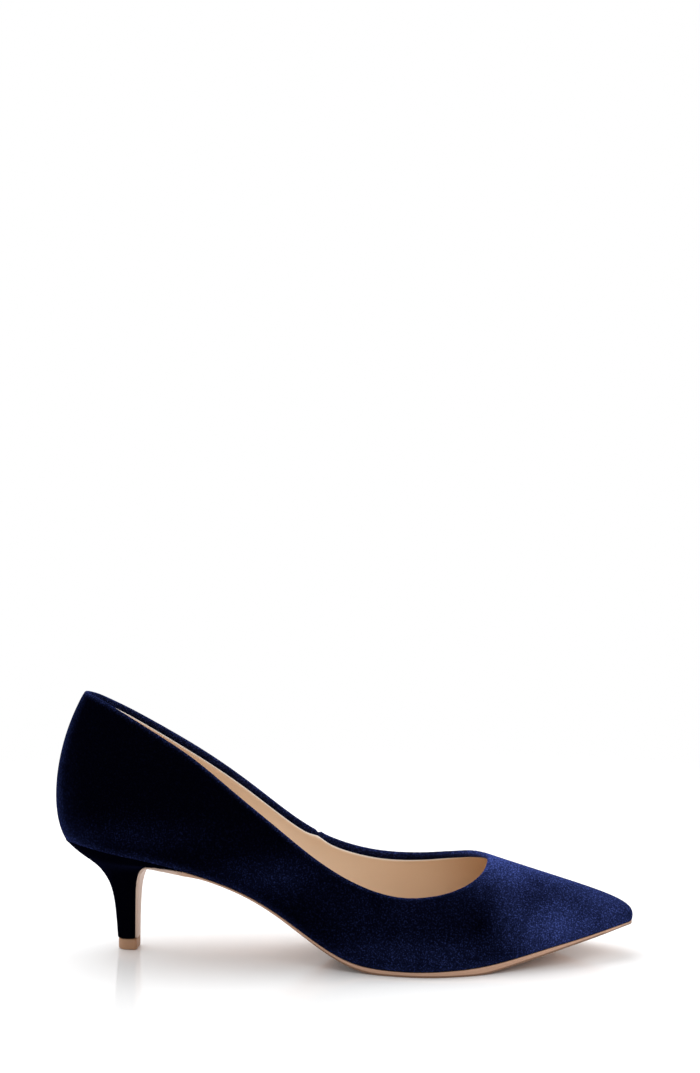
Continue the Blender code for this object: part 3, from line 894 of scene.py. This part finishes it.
def make_grain_group():
    group = new_group("leather grain", GRAIN_COLOURS, GRAIN_AMOUNTS)
    given = add_node(group, "NodeGroupInput", (-1000, 0))
    result = add_node(group, "NodeGroupOutput", (700, 0))
    link = group.links.new
    where = add_node(group, "ShaderNodeTexCoord", (-1000, -300))
    clouds = add_node(group, "ShaderNodeTexNoise", (-750, 200))
    set_inputs(clouds, {"Detail": CLOUD_DETAIL})
    link(where.outputs["Object"], clouds.inputs["Vector"])
    link(given.outputs["Cloud Size"], clouds.inputs["Scale"])
    mix = add_node(group, "ShaderNodeMix", (100, 200), data_type="RGBA")
    link(clouds.outputs["Fac"], mix.inputs["Factor"])
    link(given.outputs["Brown"], mix.inputs["A"])
    link(given.outputs["Pale"], mix.inputs["B"])
    # painted shade darkens the colour towards the dark tone
    browner = add_node(group, "ShaderNodeMix", (300, 200), data_type="RGBA")
    link(given.outputs["Painted Shade"], browner.inputs["Factor"])
    link(mix.outputs["Result"], browner.inputs["A"])
    link(given.outputs["Dark"], browner.inputs["B"])
    # a paler tone: painted highlight on the lining's edge and the flap's own paler face
    paler = add_node(group, "ShaderNodeMix", (500, 200), data_type="RGBA")
    set_inputs(paler, {"B": PALE_AND_HIGHLIGHT_TONE})
    link(given.outputs["Pale And Highlight"], paler.inputs["Factor"])
    link(browner.outputs["Result"], paler.inputs["A"])
    link(paler.outputs["Result"], result.inputs["Color"])
    pebbles = add_node(group, "ShaderNodeTexVoronoi", (-750, -200), feature="SMOOTH_F1")
    link(where.outputs["Object"], pebbles.inputs["Vector"])
    link(given.outputs["Grain Size"], pebbles.inputs["Scale"])
    link(pebbles.outputs["Distance"], result.inputs["Height"])
    rough = add_node(group, "ShaderNodeMath", (100, -100), operation="MULTIPLY_ADD")
    rough.inputs[1].default_value = CLOUD_ROUGH
    link(clouds.outputs["Fac"], rough.inputs[0])
    link(given.outputs["Rough"], rough.inputs[2])
    link(rough.outputs[0], result.inputs["Roughness"])
    return group


grain = make_grain_group()
print("grain group nodes:", len(grain.nodes))

# %% Leather finishes
# pale and brown tone of each, and the dark tone of its painted shade
LINING_TONES = ((0.78, 0.61, 0.45), (0.70, 0.53, 0.38), (0.46, 0.23, 0.075))
SOCK_TONES = ((0.72, 0.55, 0.40), (0.66, 0.49, 0.34), (0.46, 0.26, 0.12))
SOLE_TONES = ((0.53, 0.31, 0.205), (0.46, 0.265, 0.17), (0.20, 0.105, 0.06))
PAD_TONES = ((0.40, 0.22, 0.12), (0.33, 0.17, 0.09), (0.14, 0.07, 0.045))
SOLE_LINE = (LINE_MIDDLE - LINE_SOFT, LINE_MIDDLE + LINE_SOFT)


def leather_finish(name, tones, grain_size, rough, relief, line=None):
    finish, tree, shader = new_finish(name, tones[0], rough)
    hide = add_node(tree, "ShaderNodeGroup", (-400, 200), node_tree=grain)
    set_inputs(hide, {key: (*tone, 1) for key, tone in zip(GRAIN_COLOURS, tones)})
    set_inputs(hide, {"Grain Size": grain_size, "Rough": rough})
    pale_and_highlight = add_node(tree, "ShaderNodeAttribute", (-900, 300), attribute_name="pale_and_highlight")
    painted_shade = add_node(tree, "ShaderNodeAttribute", (-900, 100), attribute_name="painted_shade")
    tree.links.new(pale_and_highlight.outputs["Fac"], hide.inputs["Pale And Highlight"])
    shade = painted_shade.outputs["Fac"]
    if line:
        # the painted shade value turns into a line with a crisp edge
        crisp = add_node(tree, "ShaderNodeMapRange", (-650, 100), interpolation_type="SMOOTHSTEP")
        set_inputs(crisp, {"From Min": line[0], "From Max": line[1]})
        tree.links.new(shade, crisp.inputs["Value"])
        shade = crisp.outputs["Result"]
    tree.links.new(shade, hide.inputs["Painted Shade"])
    group_to_shader(tree, hide, shader, relief)
    return finish


lining_leather = leather_finish("beige lining", LINING_TONES, grain_size=1300, rough=0.42, relief=0.05 * MM)
sock_leather = leather_finish("beige sock", SOCK_TONES, grain_size=1100, rough=0.45, relief=0.06 * MM)
sole_leather = leather_finish(
    "beige sole", SOLE_TONES, grain_size=1500, rough=0.4, relief=0.03 * MM, line=SOLE_LINE
)
pad_finish = leather_finish("tan top piece", PAD_TONES, grain_size=2000, rough=0.5, relief=0.03 * MM)
print("finishes:", [finish.name for finish in bpy.data.materials])

# %% Dressing the pieces
DRESS = (
    (velvet, "upper", "velvet_upper", upper_velvet),
    (lining, None, "sock_lining", lining_leather),
    (sock, "insole", "sock_lining", sock_leather),
    (sole, "outsole", "sole", sole_leather),
    (heel, "heel", "velvet_heel", heel_velvet),
    (pad, "top_piece", "top_piece", pad_finish),
)
for piece, node, slot_name, finish in DRESS:
    piece.data.materials.append(finish)
    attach(piece, "root")
    if node:
        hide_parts(node)
print("pieces:", [row[0].name for row in DRESS])

# %% [markdown]
# Floor and studio light
#
# The shoe stands on a white sweep. A large soft light hangs above, behind it and towards the heel.
# It lights the topline and the top of the vamp, leaves the side towards the camera dark, and
# throws a soft shadow forwards. A weak light from the toe lifts the tip.

# %% White floor that fades into the white backdrop
FLOOR_REACH = 0.62
FLOOR_SOLID = 0.34
FLOOR_TONE = (0.87, 0.87, 0.875)
FLOOR_ROUGH = 0.12
FLOOR_GLOSS = 0.5
ROUND_SIDES = 96


def white_floor():
    bpy.ops.object.select_all(action="DESELECT")
    bpy.ops.mesh.primitive_circle_add(
        vertices=ROUND_SIDES, radius=FLOOR_REACH, fill_type="NGON", location=(0, 0, 0)
    )
    floor = bpy.context.object
    floor.name = "floor"
    finish, tree, shader = new_finish("white floor", FLOOR_TONE, FLOOR_ROUGH)
    set_inputs(shader, {"Specular IOR Level": FLOOR_GLOSS})
    where = add_node(tree, "ShaderNodeTexCoord", (-900, 0))
    reach = add_node(tree, "ShaderNodeVectorMath", (-700, 0), operation="LENGTH")
    fade = add_node(tree, "ShaderNodeMapRange", (-500, 0), interpolation_type="SMOOTHSTEP")
    set_inputs(fade, {"From Min": FLOOR_SOLID, "From Max": FLOOR_REACH, "To Min": 1.0, "To Max": 0.0})
    tree.links.new(where.outputs["Object"], reach.inputs[0])
    tree.links.new(reach.outputs["Value"], fade.inputs["Value"])
    tree.links.new(fade.outputs["Result"], shader.inputs["Alpha"])
    floor.data.materials.append(finish)
    return floor


floor = white_floor()
print("floor, metres across:", round(floor.dimensions.x, 2))


# %% Soft lights
def soft_light(name, place, aim, size, power):
    lamp_data = bpy.data.lights.new(name, "AREA")
    lamp_data.shape = "RECTANGLE"
    lamp_data.size, lamp_data.size_y = size
    lamp_data.energy = power
    lamp = bpy.data.objects.new(name, lamp_data)
    bpy.context.scene.collection.objects.link(lamp)
    lamp.location = place
    lamp.rotation_euler = (Vector(aim) - Vector(place)).to_track_quat("-Z", "Y").to_euler()
    print("light", name, "in watts:", power)


soft_light("overhead", (-0.35, 0.36, 0.95), aim=(0, 0, 0.03), size=(1.5, 1.0), power=14.5)
soft_light("from the toe", (0.8, 0.1, 0.5), aim=(0.05, 0, 0.03), size=(0.5, 0.5), power=3.0)

# %% White backdrop, with a calmer light from the camera's side
BEHIND_LIGHT, BEHIND_Y = 1.0, 0.5
FRONT_LIGHT, FRONT_Y = 0.95, -0.8

sky = bpy.data.worlds.new("studio")
bpy.context.scene.world = sky
sky.use_nodes = True
studio = sky.node_tree
seen = studio.nodes["Background"]
set_inputs(seen, {"Color": (1, 1, 1, 1), "Strength": 1.0})
around = add_node(studio, "ShaderNodeBackground", (0, -200))
way = add_node(studio, "ShaderNodeTexCoord", (-800, -200))
split = add_node(studio, "ShaderNodeSeparateXYZ", (-600, -200))
front_back = add_node(studio, "ShaderNodeMapRange", (-400, -200), interpolation_type="SMOOTHSTEP")
set_inputs(front_back, {"From Min": FRONT_Y, "From Max": BEHIND_Y})
set_inputs(front_back, {"To Min": FRONT_LIGHT, "To Max": BEHIND_LIGHT})
path_kind = add_node(studio, "ShaderNodeLightPath", (0, 200))
choose = add_node(studio, "ShaderNodeMixShader", (300, 0))
studio.links.new(way.outputs["Generated"], split.inputs["Vector"])
studio.links.new(split.outputs["Y"], front_back.inputs["Value"])
studio.links.new(front_back.outputs["Result"], around.inputs["Strength"])
studio.links.new(path_kind.outputs["Is Camera Ray"], choose.inputs["Fac"])
studio.links.new(around.outputs["Background"], choose.inputs[1])
studio.links.new(seen.outputs["Background"], choose.inputs[2])
studio.links.new(choose.outputs["Shader"], studio.nodes["World Output"].inputs["Surface"])
bpy.context.scene.view_settings.view_transform = "Standard"
print("backdrop strength, front and behind:", FRONT_LIGHT, BEHIND_LIGHT)
